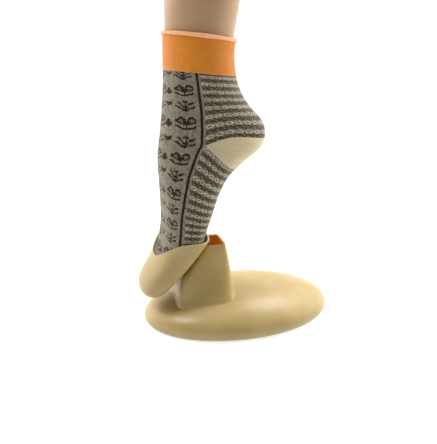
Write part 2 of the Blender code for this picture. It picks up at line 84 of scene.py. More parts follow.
# Foot sections: height, front, back, half width, where it is widest, and the back's power.
FOOT_SECTIONS = np.array([
    (0.0412, -0.1020, -0.1010, 0.0005, 0.50, 2.2),
    (0.0420, -0.1060, -0.0975, 0.0110, 0.50, 2.2),
    (0.0446, -0.1092, -0.0925, 0.0195, 0.50, 2.3),
    (0.0490, -0.1108, -0.0880, 0.0260, 0.50, 2.4),
    (0.0550, -0.1095, -0.0825, 0.0300, 0.52, 2.6),
    (0.0640, -0.1045, -0.0753, 0.0335, 0.55, 2.5),
    (0.0770, -0.0965, -0.0645, 0.0370, 0.55, 2.6),
    (0.0950, -0.0896, -0.0497, 0.0390, 0.55, 2.8),
    (0.1150, -0.0858, -0.0425, 0.0385, 0.55, 3.0),
    (0.1350, -0.0850, -0.0340, 0.0365, 0.52, 2.8),
    (0.1550, -0.0855, -0.0253, 0.0340, 0.50, 2.6),
    (0.1720, -0.0862, -0.0135, 0.0330, 0.46, 2.4),
    (0.1860, -0.0866, 0.0030, 0.0320, 0.43, 2.4),
    (0.2000, -0.0855, 0.0210, 0.0315, 0.40, 2.5),
    (0.2130, -0.0834, 0.0250, 0.0315, 0.39, 2.6),
    (0.2260, -0.0819, 0.0212, 0.0315, 0.40, 2.4),
    (0.2400, -0.0803, 0.0082, 0.0315, 0.43, 2.2),
    (0.2560, -0.0788, -0.0022, 0.0310, 0.46, 2.1),
    (0.2760, -0.0779, -0.0082, 0.0305, 0.49, 2.0),
    (0.3000, -0.0773, -0.0092, 0.0305, 0.50, 2.0),
    (0.3300, -0.0766, -0.0042, 0.0315, 0.50, 2.0),
    (0.3600, -0.0765, 0.0002, 0.0330, 0.50, 2.0),
    (0.3920, -0.0767, 0.0042, 0.0350, 0.50, 2.0),
])
FRONT_POWER = 2.1
FORM_WALL = 0.0025
LEG_COLUMNS = 128
SOCK_SKIN = 0.0019
KNIT_THICKNESS = 0.0011
# An open end below this height is the tip of the toes, and is closed.
TOE_TIP_BELOW = 0.045

# The lid on the leg: its plate, and a skirt that goes down inside the leg's wall.
LID_GAP = 0.0003
LID_THICKNESS = 0.0028
LID_SKIRT = 0.008
LID_SKIRT_IN = 0.0063
LID_SKIRT_OUT = 0.0043
LID_EDGE_INSET = 0.0001
LID_CROWN_INSET = 0.010
LID_ROUNDING = 0.0007

# Toe cup: it follows the foot up to its widest section and then opens.
CUP_SECTIONS = np.vstack([
    FOOT_SECTIONS[FOOT_SECTIONS[:, 0] < 0.096],
    [(0.1060, -0.0868, -0.0425, 0.0405, 0.55, 3.0), (0.1180, -0.0840, -0.0340, 0.0420, 0.55, 3.0)],
])
CUP_INSIDE = 0.0022
CUP_WALL = 0.0020
CUP_RIM_ROUNDING = 0.0009
CUP_RIM_RANGE = (0.070, 0.117)
CUP_RIM = np.array([
    (-0.1250, 0.0800), (-0.1000, 0.0835), (-0.0961, 0.0856), (-0.0919, 0.0903), (-0.0871, 0.0953),
    (-0.0817, 0.1002), (-0.0748, 0.1046), (-0.0665, 0.1064), (-0.0581, 0.1066), (-0.0500, 0.1060),
    (-0.0440, 0.1056), (-0.0300, 0.1056),
])
HOOK_HALF_WIDTH = 0.010
HOOK_ROUNDING = 0.0004
HOOK_OUTLINE = [
    (-0.0445, 0.0915), (-0.0438, 0.0960), (-0.0422, 0.0990), (-0.0402, 0.1002),
    (-0.0380, 0.0996), (-0.0364, 0.0978), (-0.0357, 0.0950), (-0.0355, 0.0862),
    (-0.0361, 0.0850), (-0.0371, 0.0850), (-0.0377, 0.0862), (-0.0380, 0.0943),
    (-0.0409, 0.0943), (-0.0425, 0.0930),
]

# Knitting: wales are counted from the middle of the instep to the middle of the back, and courses
# down from the cuff. The dark line runs down the side, and the heel's corner is just behind it.
WALES_TO_LINE = 36
WALES_TO_CORNER = 39
WALES_TO_BACK = 88
COURSES_TO_HEEL = 93
COURSES_TO_TOE = 252
HEEL_COURSES = 52
MOTIF_PITCH = 21
FIRST_MOTIF = 8
# Course at the middle of the instep, its height, and its slope towards the heel.
COURSE_LINE = np.array([
    (0, 0.2783, -0.105), (8, 0.2740, -0.055), (29, 0.2592, -0.015), (50, 0.2450, -0.030),
    (71, 0.2292, -0.055), (92, 0.2112, -0.105), (113, 0.1957, -0.160), (134, 0.1793, -0.310),
    (155, 0.1612, -0.400), (176, 0.1435, -0.400), (197, 0.1270, -0.300), (218, 0.1110, -0.150),
    (239, 0.0938, -0.050), (252, 0.0830, 0.000),
])
# The dark side line: height and distance along X.
SIDE_LINE = np.array([
    (0.075, -0.0830), (0.0950, -0.0745), (0.1082, -0.0726), (0.1290, -0.0702), (0.1548, -0.0659),
    (0.1750, -0.0621), (0.1977, -0.0539), (0.2090, -0.0485), (0.2232, -0.0480),
    (0.2395, -0.0485), (0.2578, -0.0507), (0.2748, -0.0526), (0.2900, -0.0540),
])
# The heel's two edges: how far behind its corner, and how far above or below it.
HEEL_UP = np.array([
    (0.0, 0.0), (0.0135, 0.0045), (0.0272, 0.0070), (0.0432, 0.0064), (0.0623, 0.0036),
    (0.0720, 0.0026),
])
HEEL_DOWN = np.array([
    (0.0, 0.0), (0.0067, -0.0068), (0.0135, -0.0135), (0.0215, -0.0210), (0.0290, -0.0255),
    (0.0410, -0.0285), (0.0700, -0.0300),
])
LINE_TO_CORNER = 0.0036
CUFF_SLOPE = -math.tan(math.radians(6.0))
CUFF_AXIS_X = -0.042
CUFF_BOTTOM = 0.2744
CUFF_TOP = 0.3066
EDGE_RADIUS = 0.0018
EDGE_OFF_FORM = 0.0006
EDGE_ABOVE_CUFF = 0.0003
# The cuff's ribs, and how far it stands outside the patterned knit and reaches into the roll.
RIBS = 132
CUFF_COLUMNS = RIBS * 4
RIB_HEIGHT = 0.00018
CUFF_OVER_BODY = 0.0001
CUFF_INTO_EDGE = 0.0012
# Heights between which the courses of the sock and of the cuff are looked for.
SOCK_RANGE = (0.045, 0.330)
CUFF_RANGE = (0.240, 0.340)
# Roughly where the side line is, to find a course's height there.
SIDE_LINE_X = -0.060

# The short steps around and up a surface that its normals are taken from.
TURN = 0.02
RISE = 0.0004

# Camera: the lens of a 36 mm wide frame, its place, how far it looks down, and its turn.
LENS = 40.54
CAMERA_PLACE = (-0.16069, -0.51401, 0.29002)
CAMERA_DOWN = math.radians(18.27)
CAMERA_TURN = math.radians(-15.0)
FLOOR_HALF_SIZE = 6.0
# The side of the room that is dim, so that the front of the stand isn't washed out.
DIM_SIDE = (-0.24, -0.95, -0.15)


# ---- camera, light and floor


def hex_colour(code):
    """An sRGB hex colour as the linear numbers that a node takes."""
    values = [int(code[i:i + 2], 16) / 255 for i in (1, 3, 5)]
    return (*((v / 12.92 if v <= 0.04045 else ((v + 0.055) / 1.055) ** 2.4) for v in values), 1.0)


def add(tree, kind, inputs=None, ramp=None, **settings):
    """A shader node with its settings, and with its inputs linked or set."""
    made = tree.nodes.new("ShaderNode" + kind)
    for name, value in settings.items():
        setattr(made, name, value)
    for key, value in (inputs or {}).items():
        if isinstance(value, bpy.types.NodeSocket):
            tree.links.new(value, made.inputs[key])
        else:
            made.inputs[key].default_value = value
    if ramp:
        stops = made.color_ramp.elements
        while len(stops) < len(ramp):
            stops.new(1.0)
        for stop, (position, colour) in zip(stops, ramp):
            stop.position = position
            stop.color = hex_colour(colour)
    return made


def camera():
    data = bpy.data.cameras.new("camera")
    data.sensor_width = 36.0
    data.lens = LENS
    data.clip_start, data.clip_end = 0.01, 20.0
    obj = bpy.data.objects.new("camera", data)
    obj.location = CAMERA_PLACE
    obj.rotation_euler = (math.pi / 2 - CAMERA_DOWN, 0.0, CAMERA_TURN)
    bpy.context.scene.collection.objects.link(obj)
    bpy.context.scene.camera = obj


def area_light(name, place, target, size, power, mirrored=True):
    """A soft box. One that is not mirrored lights the plastics without showing in their gloss."""
    data = bpy.data.lights.new(name, "AREA")
    data.shape = "RECTANGLE"
    data.size, data.size_y = size
    data.energy = power
    obj = bpy.data.objects.new(name, data)
    obj.location = place
    obj.rotation_euler = (Vector(target) - Vector(place)).to_track_quat("-Z", "Y").to_euler()
    obj.visible_glossy = mirrored
    bpy.context.scene.collection.objects.link(obj)


def studio():
    """A white sweep that lights from the sides and behind, and is dim in front."""
    scene = bpy.context.scene
    scene.view_settings.view_transform = "Standard"
    world = bpy.data.worlds.new("studio")
    scene.world = world
    world.use_nodes = True
    tree = world.node_tree
    around = add(tree, "TexCoord").outputs["Generated"]
    front = add(tree, "VectorMath", {0: around, 1: DIM_SIDE}, operation="DOT_PRODUCT")
    share = add(tree, "MapRange", {0: front.outputs["Value"], 1: -0.10, 2: 0.75, 3: 0.0, 4: 1.0})
    tone = add(tree, "ValToRGB", {0: share.outputs[0]},
               ramp=[(0.0, "#FFFFFF"), (0.45, "#7F7C76"), (1.0, "#1B1917")])
    # The sweep itself looks plain white from everywhere.
    seen = add(tree, "LightPath").outputs["Is Camera Ray"]
    sweep = add(tree, "Mix", {"Factor": seen, 6: tone.outputs["Color"],
                              7: hex_colour("#FFFFFF")}, data_type="RGBA")
    background = tree.nodes["Background"]
    tree.links.new(sweep.outputs[2], background.inputs["Color"])
    background.inputs["Strength"].default_value = 1.2
    area_light("left_box", (-0.65, 0.50, 0.42), (-0.03, 0.0, 0.18), (0.5, 0.8), 6.0, False)
    area_light("right_box", (0.84, 0.07, 0.42), (-0.03, 0.0, 0.20), (0.5, 0.8), 9.0, False)
    area_light("high_right_box", (0.44, 0.18, 0.85), (0.02, -0.04, 0.03), (0.34, 0.34), 3.4)
    area_light("high_left_box", (-0.50, -0.09, 0.80), (-0.07, -0.04, 0.02), (0.20, 0.20), 2.8)
    paper_floor()


def paper_floor():
    """Matt white paper, lit so that it fades into the sweep."""
    bm = bmesh.new()
    bmesh.ops.create_grid(bm, x_segments=1, y_segments=1, size=FLOOR_HALF_SIZE)
    mesh = bpy.data.meshes.new("floor")
    bm.to_mesh(mesh)
    bm.free()
    floor = bpy.data.objects.new("floor", mesh)
    bpy.context.scene.collection.objects.link(floor)
    paper = bpy.data.materials.new("matt_white_paper")
    paper.use_nodes = True
    shader = paper.node_tree.nodes["Principled BSDF"]
    shader.inputs["Base Color"].default_value = hex_colour("#9C9C9C")
    shader.inputs["Roughness"].default_value = 0.95
    shader.inputs["Specular IOR Level"].default_value = 0.1
    shader.inputs["Emission Color"].default_value = (1.0, 1.0, 1.0, 1.0)
    shader.inputs["Emission Strength"].default_value = 0.78
    floor.data.materials.append(paper)


# ---- surfaces


def between(table, at):
    """Rows of a table read smoothly at these values of its first column, one array per column."""
    keys, values = table[:, 0], table[:, 1:]
    slopes = np.empty_like(values)
    slopes[1:-1] = (values[2:] - values[:-2]) / (keys[2:] - keys[:-2])[:, None]
    slopes[0] = (values[1] - values[0]) / (keys[1] - keys[0])
    slopes[-1] = (values[-1] - values[-2]) / (keys[-1] - keys[-2])
    at = np.clip(at, keys[0], keys[-1])
    k = np.clip(np.searchsorted(keys, at, side="right") - 1, 0, len(keys) - 2)
    step = (keys[k + 1] - keys[k])[..., None]
    t = (at - keys[k])[..., None] / step
    found = (
        (2 * t**3 - 3 * t**2 + 1) * values[k]
        + (t**3 - 2 * t**2 + t) * step * slopes[k]
        + (3 * t**2 - 2 * t**3) * values[k + 1]
        + (t**3 - t**2) * step * slopes[k + 1]
    )
    return np.moveaxis(found, -1, 0)


def straight(table, at):
    return np.interp(at, table[:, 0], table[:, 1])


def full_turn(columns):
    return np.linspace(0, 2 * math.pi, columns + 1)


def foot_point(angle, height, sections=FOOT_SECTIONS):
    """The form's surface. Angle 0 is the middle of the back, and pi is the middle of the front."""
    front, back, half_width, widest, back_power = between(sections, height)
    centre = front + (back - front) * widest
    along, across = np.cos(angle), np.sin(angle)
    reach = np.where(along > 0, back - centre, centre - front)
    power = np.where(along > 0, back_power, FRONT_POWER)
    x = centre + np.sign(along) * reach * np.abs(along) ** (2 / power)
    y = np.sign(across) * half_width * np.abs(across) ** (2 / power)
    return np.stack([x, y, height + 0 * x], -1)


def post_point(angle, height):
    front, back, half_width, pinch, front_power, back_power = between(POST_SECTIONS, height)
    centre = (front + back) / 2
    along, across = np.cos(angle), np.sin(angle)
    power = np.where(along > 0, back_power, front_power)
    x = centre + np.sign(along) * (back - front) / 2 * np.abs(along) ** (2 / power)
    y = np.sign(across) * half_width * np.abs(across) ** (2 / power)
    y = y * (1 - pinch * ((back - x) / (back - front)) ** 2)
    return np.stack([x, y, height + 0 * x], -1)


def outward(surface, angle, height):
    """Unit normals of a surface, from short steps along it and around it."""
    around = surface(angle + TURN, height) - surface(angle - TURN, height)
    up = surface(angle, height + RISE) - surface(angle, height - RISE)
    normal = np.cross(around, up)
    return normal / np.linalg.norm(normal, axis=-1, keepdims=True)


def meet(surface, line, angle, low, high):
    """The height at which a surface crosses a line z = line(x, y), for each angle."""
    low, high = low + 0 * angle, high + 0 * angle
    for _ in range(36):
        middle = (low + high) / 2
        point = surface(angle, middle)
        above = point[..., 2] > line(point[..., 0], point[..., 1])
        low, high = np.where(above, low, middle), np.where(above, middle, high)
    return (low + high) / 2


# ---- meshes


def wrapped(places, first_wale=0, first_course=0):
    """A grid bent so that its rows and columns lie at these places, with its UV map counted in
    columns and rows. Where its two sides meet, they are merged."""
    rows, columns = places.shape[0] - 1, places.shape[1] - 1
    bm = bmesh.new()
    bmesh.ops.create_grid(bm, x_segments=columns, y_segments=rows, size=0.5, calc_uvs=True)
    uv = bm.loops.layers.uv.verify()
    for face in bm.faces:
        for loop in face.loops:
            across, along = loop.vert.co.x + 0.5, loop.vert.co.y + 0.5
            loop[uv].uv = (first_wale + across * columns, first_course + along * rows)
    bm.verts.ensure_lookup_table()
    for vert, place in zip(bm.verts, places.reshape(-1, 3)):
        vert.co = place
    bmesh.ops.remove_doubles(bm, verts=bm.verts, dist=2e-6)
    return bm


def face_out(bm):
    """Turns the faces so that most of them look away from the middle of the shape."""
    bm.normal_update()
    middle = sum((v.co for v in bm.verts), Vector()) / len(bm.verts)
    if sum(f.normal.dot(f.calc_center_median() - middle) * f.calc_area() for f in bm.faces) < 0:
        bmesh.ops.reverse_faces(bm, faces=bm.faces)


def close_ends(bm, below=math.inf):
    """Fills the open ends that lie below this height."""
    edges = [e for e in bm.edges if e.is_boundary and max(v.co.z for v in e.verts) < below]
    bmesh.ops.holes_fill(bm, edges=edges, sides=0)


def piece(name, bm, body, materials, node):
    """An object that rides on a body and stands for a CAD node, which it hides."""
    mesh = bpy.data.meshes.new(name)
    bm.to_mesh(mesh)
    bm.free()
    mesh.shade_smooth()
    for uv in mesh.uv_layers:
        uv.name = "stitches"
    for material in materials:
        mesh.materials.append(material)
    obj = bpy.data.objects.new(name, mesh)
    bpy.context.scene.collection.objects.link(obj)
    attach(obj, body)
    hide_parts(node)
    return obj


def wall(obj, thickness):
    """Gives a surface its wall, inwards."""
    modifier = obj.modifiers.new("wall", "SOLIDIFY")
    modifier.thickness = thickness
    modifier.offset = -1.0
    modifier.use_even_offset = False
    return modifier


def soft_edges(obj, width, segments=3):
    modifier = obj.modifiers.new("rounded", "BEVEL")
    modifier.width = width
    modifier.segments = segments
    modifier.limit_method = "ANGLE"
    modifier.angle_limit = math.radians(40.0)
    modifier.use_clamp_overlap = True


def sharp_corners(obj):
    obj.data.set_sharp_from_angle(angle=math.radians(50.0))


def applied(obj):
    """Replaces the object's mesh by the one that its modifiers make."""
    graph = bpy.context.evaluated_depsgraph_get()
    made = bpy.data.meshes.new_from_object(obj.evaluated_get(graph))
    obj.modifiers.clear()
    old, obj.data = obj.data, made
    bpy.data.meshes.remove(old)


# ---- materials


def new_material(name):
    """A material, its node tree, its shader, and the place of each point on its piece."""
    made = bpy.data.materials.new(name)
    made.use_nodes = True
    tree = made.node_tree
    return made, tree, tree.nodes["Principled BSDF"], add(tree, "TexCoord").outputs["Object"]


def link(tree, shader, **sources):
    for name, source in sources.items():
        tree.links.new(source, shader.inputs[name.replace("_", " ")])


def satin_polypropylene(name, low_tone, mid_tone, high_tone, painted_glow_strength=0.0):
    """Injection-moulded polypropylene, eroded to a fine satin. It gives the eye a soft, wide
    highlight, faint clouds from the flow of the melt, and thin scuffs from handling. Where an
    emission strength is given, an orange emission is painted light: it stands in for the light
    that comes through a thin wall and bounces down in a hollow."""
    made, tree, shader, place = new_material(name)
    # Flow clouds 40 mm across.
    clouds = add(tree, "TexNoise", {"Vector": place, "Scale": 25.0, "Detail": 3.0})
    tone = add(tree, "ValToRGB", {0: clouds.outputs["Fac"]},
               ramp=[(0.30, low_tone), (0.52, mid_tone), (0.74, high_tone)])
    # Eroded grain, 0.25 mm in the steel mould and drawn at 0.9 mm so that it shows.
    grain = add(tree, "TexNoise", {"Vector": place, "Scale": 1100.0, "Detail": 2.0})
    # Scuffs: long thin streaks.
    stretched = add(tree, "Mapping", {"Vector": place, "Scale": (60.0, 420.0, 300.0),
                                      "Rotation": (0.3, 0.5, 0.9)})
    streaks = add(tree, "TexNoise", {"Vector": stretched.outputs[0], "Scale": 1.0, "Detail": 4.0})
    scuffs = add(tree, "MapRange", {0: streaks.outputs["Fac"], 1: 0.62, 2: 0.74, 3: 0.0, 4: 1.0})
    rough = add(tree, "MapRange", {0: clouds.outputs["Fac"], 1: 0.3, 2: 0.7, 3: 0.29, 4: 0.37})
    rough = add(tree, "Math", {0: scuffs.outputs[0], 1: 0.10, 2: rough.outputs[0]},
                operation="MULTIPLY_ADD")
    paler = add(tree, "Mix", {"Factor": scuffs.outputs[0], 6: tone.outputs["Color"],
                              7: hex_colour(high_tone)}, data_type="RGBA")
    faint = add(tree, "Mix", {"Factor": 0.35, 6: tone.outputs["Color"], 7: paler.outputs[2]},
                data_type="RGBA")
    bump = add(tree, "Bump", {"Height": grain.outputs["Fac"], "Strength": 0.25, "Distance": 0.0002})
    link(tree, shader, Base_Color=faint.outputs[2], Roughness=rough.outputs[0],
         Normal=bump.outputs["Normal"])
    shader.inputs["IOR"].default_value = 1.49
    shader.inputs["Subsurface Weight"].default_value = 0.12
    shader.inputs["Subsurface Radius"].default_value = (1.0, 0.55, 0.25)
    shader.inputs["Subsurface Scale"].default_value = 0.003
    # Painted light: an orange emission stands in for light that comes through the thin wall and
    # bounces in the hollow; the plastic is no lamp.
    if painted_glow_strength:
        shader.inputs["Emission Color"].default_value = hex_colour("#E88C18")
        shader.inputs["Emission Strength"].default_value = painted_glow_strength
    return made


def rotomoulded_skin():
    """Rotomoulded polyethylene in a skin brown. It gives a matt body, with small pits and a very
    soft sheen where it turns away."""
    made, tree, shader, place = new_material("rotomoulded_polyethylene_skin")
    clouds = add(tree, "TexNoise", {"Vector": place, "Scale": 18.0, "Detail": 4.0})
    tone = add(tree, "ValToRGB", {0: clouds.outputs["Fac"]},
               ramp=[(0.30, "#987959"), (0.55, "#A38361"), (0.75, "#AC8E6E")])
    pits = add(tree, "TexNoise", {"Vector": place, "Scale": 900.0, "Detail": 2.0})
    bump = add(tree, "Bump", {"Height": pits.outputs["Fac"], "Strength": 0.3, "Distance": 0.0002})
    rough = add(tree, "MapRange", {0: clouds.outputs["Fac"], 1: 0.3, 2: 0.7, 3: 0.40, 4: 0.50})
    link(tree, shader, Base_Color=tone.outputs["Color"], Roughness=rough.outputs[0],
         Normal=bump.outputs["Normal"])
    shader.inputs["IOR"].default_value = 1.50
    shader.inputs["Sheen Weight"].default_value = 0.35
    shader.inputs["Sheen Roughness"].default_value = 0.35
    shader.inputs["Subsurface Weight"].default_value = 0.15
    shader.inputs["Subsurface Radius"].default_value = (1.0, 0.45, 0.25)
    shader.inputs["Subsurface Scale"].default_value = 0.004
    return made


def knit(name, yarns, shade_share, fuzz, course_share=0.0):
    """Fine cotton jersey. Each face is one stitch: the attribute yarn says which yarn it is, and
    the UV map counts wales and courses. It gives rows of small Vs with painted shade between
    their legs, a heathered tone that changes from stitch to stitch, and a soft fuzz at the outline."""
    made, tree, shader, place = new_material(name)
    yarn = add(tree, "Attribute", attribute_name="yarn").outputs["Fac"]
    stops = [(0.0, yarns[0]), *((0.25 + 0.30 * i, tone) for i, tone in enumerate(yarns[1:]))]
    tone = add(tree, "ValToRGB", {0: yarn}, ramp=stops)
    tone.color_ramp.interpolation = "CONSTANT"
    uv = add(tree, "UVMap", uv_map="stitches").outputs["UV"]
    split = add(tree, "SeparateXYZ", {0: uv})
    wale = add(tree, "Math", {0: split.outputs["X"]}, operation="FRACT")
    wide = add(tree, "Math", {0: wale.outputs[0], 1: 2.0, 2: -1.0}, operation="MULTIPLY_ADD")
    side = add(tree, "Math", {0: wide.outputs[0]}, operation="ABSOLUTE")
    # The legs of each V climb by half a course from its foot to its shoulders.
    slant = add(tree, "Math", {0: side.outputs[0], 1: -0.5, 2: split.outputs["Y"]},
                operation="MULTIPLY_ADD")
    turn = add(tree, "Math", {0: slant.outputs[0], 1: 2 * math.pi}, operation="MULTIPLY")
    wave = add(tree, "Math", {0: turn.outputs[0]}, operation="COSINE")
    leg = add(tree, "Math", {0: wave.outputs[0], 1: 0.3, 2: 0.5}, operation="MULTIPLY_ADD")
    half = add(tree, "Math", {0: side.outputs[0], 1: math.pi}, operation="MULTIPLY")
    round_leg = add(tree, "Math", {0: half.outputs[0]}, operation="SINE")
    height = add(tree, "Math", {0: round_leg.outputs[0], 1: 0.35, 2: leg.outputs[0]},
                 operation="MULTIPLY_ADD")
    cell = add(tree, "VectorMath", {0: uv}, operation="FLOOR")
    chance = add(tree, "TexWhiteNoise", {0: cell.outputs[0]}, noise_dimensions="2D")
    # Slubs in the yarn, about 3 mm long.
    slubs = add(tree, "TexNoise", {"Vector": place, "Scale": 330.0, "Detail": 3.0})
    mixed = add(tree, "Math", {0: chance.outputs["Value"], 1: 0.5, 2: slubs.outputs["Fac"]},
                operation="MULTIPLY_ADD")
    lightness = add(tree, "MapRange", {0: mixed.outputs[0], 1: 0.35, 2: 1.15,
                                       3: 1.0 - shade_share, 4: 1.0 + shade_share})
    # Painted shade: the colour darkens in the hollows between the legs of each V, and is a little
    # lighter on their tops as painted highlight.
    painted_stitch_shade = add(tree, "MapRange", {0: height.outputs[0], 1: 0.2, 2: 0.8, 3: 0.82, 4: 1.06})
    value = add(tree, "Math", {0: lightness.outputs[0], 1: painted_stitch_shade.outputs[0]}, operation="MULTIPLY")
    # Whole courses are a little tighter or looser than their neighbours.
    course = add(tree, "SeparateXYZ", {0: cell.outputs[0]})
    tension = add(tree, "TexWhiteNoise", {"W": course.outputs["Y"]}, noise_dimensions="1D")
    drawn = add(tree, "MapRange", {0: tension.outputs["Value"], 3: 1.0 - course_share, 4: 1.0})
    value = add(tree, "Math", {0: value.outputs[0], 1: drawn.outputs[0]}, operation="MULTIPLY")
    coloured = add(tree, "VectorMath", {0: tone.outputs["Color"], "Scale": value.outputs[0]},
                   operation="SCALE")
    bump = add(tree, "Bump", {"Height": height.outputs[0], "Strength": 0.6, "Distance": 0.0004})
    link(tree, shader, Base_Color=coloured.outputs[0], Normal=bump.outputs["Normal"])
    shader.inputs["Roughness"].default_value = 0.92
    shader.inputs["Specular IOR Level"].default_value = 0.2
    shader.inputs["Sheen Weight"].default_value = fuzz
    shader.inputs["Sheen Roughness"].default_value = 0.34
    shader.inputs["Sheen Tint"].default_value = hex_colour("#FFF3E2")
    return made


def dark_polystyrene():
    """Moulded high-impact polystyrene, dark brown. It gives a dull, even sheen."""
    made, tree, shader, place = new_material("moulded_polystyrene_brown")
    clouds = add(tree, "TexNoise", {"Vector": place, "Scale": 30.0, "Detail": 3.0})
    tone = add(tree, "ValToRGB", {0: clouds.outputs["Fac"]},
               ramp=[(0.3, "#3A332B"), (0.7, "#463E35")])
    grain = add(tree, "TexNoise", {"Vector": place, "Scale": 1200.0})
    bump = add(tree, "Bump", {"Height": grain.outputs["Fac"], "Strength": 0.3, "Distance": 0.0002})
    link(tree, shader, Base_Color=tone.outputs["Color"], Normal=bump.outputs["Normal"])
    shader.inputs["Roughness"].default_value = 0.5
    shader.inputs["IOR"].default_value = 1.59
    return made


def closed_cell_foam():
    """Closed-cell EVA foam. It gives a black matt skin with small cells."""
    made, tree, shader, place = new_material("closed_cell_eva_foam")
    cells = add(tree, "TexVoronoi", {"Vector": place, "Scale": 900.0})
    tone = add(tree, "ValToRGB", {0: cells.outputs["Distance"]},
               ramp=[(0.1, "#26262A"), (0.7, "#3A3A3E")])
    bump = add(tree, "Bump", {"Height": cells.outputs["Distance"], "Strength": 0.6,
                              "Distance": 0.0004})
    link(tree, shader, Base_Color=tone.outputs["Color"], Normal=bump.outputs["Normal"])
    shader.inputs["Roughness"].default_value = 0.9
    return made


def sand_cast_iron():
    """Sand-cast iron, left as cast. It gives a dark grey skin with the sand's grain."""
    made, tree, shader, place = new_material("sand_cast_iron")
    sand = add(tree, "TexNoise", {"Vector": place, "Scale": 700.0, "Detail": 5.0})
    tone = add(tree, "ValToRGB", {0: sand.outputs["Fac"]},
               ramp=[(0.3, "#4A4745"), (0.7, "#6E6B68")])
    rough = add(tree, "MapRange", {0: sand.outputs["Fac"], 1: 0.3, 2: 0.7, 3: 0.50, 4: 0.75})
    bump = add(tree, "Bump", {"Height": sand.outputs["Fac"], "Strength": 0.8, "Distance": 0.0005})
    link(tree, shader, Base_Color=tone.outputs["Color"], Roughness=rough.outputs[0],
         Normal=bump.outputs["Normal"])
    shader.inputs["Metallic"].default_value = 0.9
    return made


def zinc_plated_steel():
    """Steel with bright zinc plate. It gives a bright metal with faint turned rings."""
    made, tree, shader, place = new_material("zinc_plated_steel")
    plate = add(tree, "TexNoise", {"Vector": place, "Scale": 600.0, "Detail": 3.0})
    tone = add(tree, "ValToRGB", {0: plate.outputs["Fac"]},
               ramp=[(0.3, "#B9BDC2"), (0.7, "#D6D8DA")])
    rough = add(tree, "MapRange", {0: plate.outputs["Fac"], 1: 0.3, 2: 0.7, 3: 0.22, 4: 0.36})
    link(tree, shader, Base_Color=tone.outputs["Color"], Roughness=rough.outputs[0])
    shader.inputs["Metallic"].default_value = 1.0
    return made


# ---- the stand


def dome_height(x, y):
    left = 1.0 - (x / BASE_HALF_LENGTH) ** 2 - (y / BASE_HALF_WIDTH) ** 2
    return WIDEST_HEIGHT + DOME_RISE * np.sqrt(np.maximum(left, 0.0))


def base_dome(material):
    """Half an ellipsoid on a rounded edge that tucks in underneath."""
    bm = bmesh.new()
    bmesh.ops.create_uvsphere(bm, u_segments=DOME_AROUND, v_segments=DOME_UP, radius=1.0)
    bmesh.ops.bisect_plane(bm, geom=[*bm.verts, *bm.edges, *bm.faces], dist=1e-6,
                           plane_co=(0, 0, 0), plane_no=(0, 0, 1), clear_inner=True)
    bmesh.ops.scale(bm, vec=(BASE_HALF_LENGTH, BASE_HALF_WIDTH, DOME_RISE), verts=bm.verts)
    bmesh.ops.translate(bm, vec=(0.0, 0.0, WIDEST_HEIGHT), verts=bm.verts)
    tuck = 0.0
    for step in range(1, EDGE_STEPS + 1):
        edges = [e for e in bm.edges if e.is_boundary]
        made = bmesh.ops.extrude_edge_only(bm, edges=edges)["geom"]
        ring = [item for item in made if isinstance(item, bmesh.types.BMVert)]
        angle = EDGE_TURN * step / EDGE_STEPS
        share = math.sin(angle) / math.sin(EDGE_TURN)
        new_tuck = EDGE_TUCK * (1 - math.cos(angle)) / (1 - math.cos(EDGE_TURN))
        for vert in ring:
            vert.co.x *= (BASE_HALF_LENGTH - new_tuck) / (BASE_HALF_LENGTH - tuck)
            vert.co.y *= (BASE_HALF_WIDTH - new_tuck) / (BASE_HALF_WIDTH - tuck)
            vert.co.z = WIDEST_HEIGHT - (WIDEST_HEIGHT - SHELL_BOTTOM) * share
        tuck = new_tuck
    bmesh.ops.recalc_face_normals(bm, faces=bm.faces)
    face_out(bm)
    wall(piece("base_dome", bm, "stand", [material], "base_shell"), SHELL_WALL)


def hollow_post(materials):
    """The post's wall, from a rounded rim down to a small fillet where it meets the dome."""
    columns, rows = 240, 64
    angle = full_turn(columns)
    foot = meet(post_point, dome_height, angle, *POST_FOOT_RANGE)
    top = POST_SECTIONS[-1, 0]
    # Rows lie closer together near the dome.
    share = np.linspace(0, 1, rows + 1)[:, None] ** 1.5
    height = foot + (top - foot) * share
    places = post_point(angle, height)
    spread = np.broadcast_to(angle, height.shape)
    normal = outward(post_point, spread, np.minimum(height, top - RISE))
    # The fillet leans out as it nears the dome.
    near = np.clip(1 - (height - foot) / POST_FILLET, 0, 1)
    places = places + normal * (POST_FILLET * (1 - np.sqrt(1 - near**2)))[..., None]
    places[0, :, 2] = dome_height(places[0, :, 0], places[0, :, 1]) - SUNK
    bm = wrapped(places)
    face_out(bm)
    obj = piece("hollow_post", bm, "stand", materials, "post")
    shell = wall(obj, POST_WALL)
    # The inner wall takes the second material, which holds painted orange bounce light.
    shell.material_offset = 1
    soft_edges(obj, POST_RIM_ROUNDING)
    applied(obj)
    bm = bmesh.new()
    bm.from_mesh(obj.data)
    for x, reach in BOSSES:
        middle = dome_height(x, 0.0) + BOSS_HEIGHT / 2
        made = bmesh.ops.create_cone(bm, cap_ends=True, segments=32, radius1=BOSS_RADIUS,
                                     radius2=BOSS_RADIUS, depth=BOSS_HEIGHT)["verts"]
        bmesh.ops.translate(bm, vec=(x, 0.0, middle - BOSS_SUNK), verts=made)
        web = bmesh.ops.create_cube(bm, size=1.0)["verts"]
        size = (abs(reach), WEB_THICKNESS, BOSS_HEIGHT - WEB_BELOW_BOSS)
        bmesh.ops.scale(bm, vec=size, verts=web)
        bmesh.ops.translate(bm, vec=(x + reach / 2, 0.0, middle - WEB_BELOW_BOSS), verts=web)
        # The bosses and webs take the same material with painted bounce light.
        for face in {face for vert in (*made, *web) for face in vert.link_faces}:
            face.material_index = 1
    bm.to_mesh(obj.data)
    bm.free()
    sharp_corners(obj)


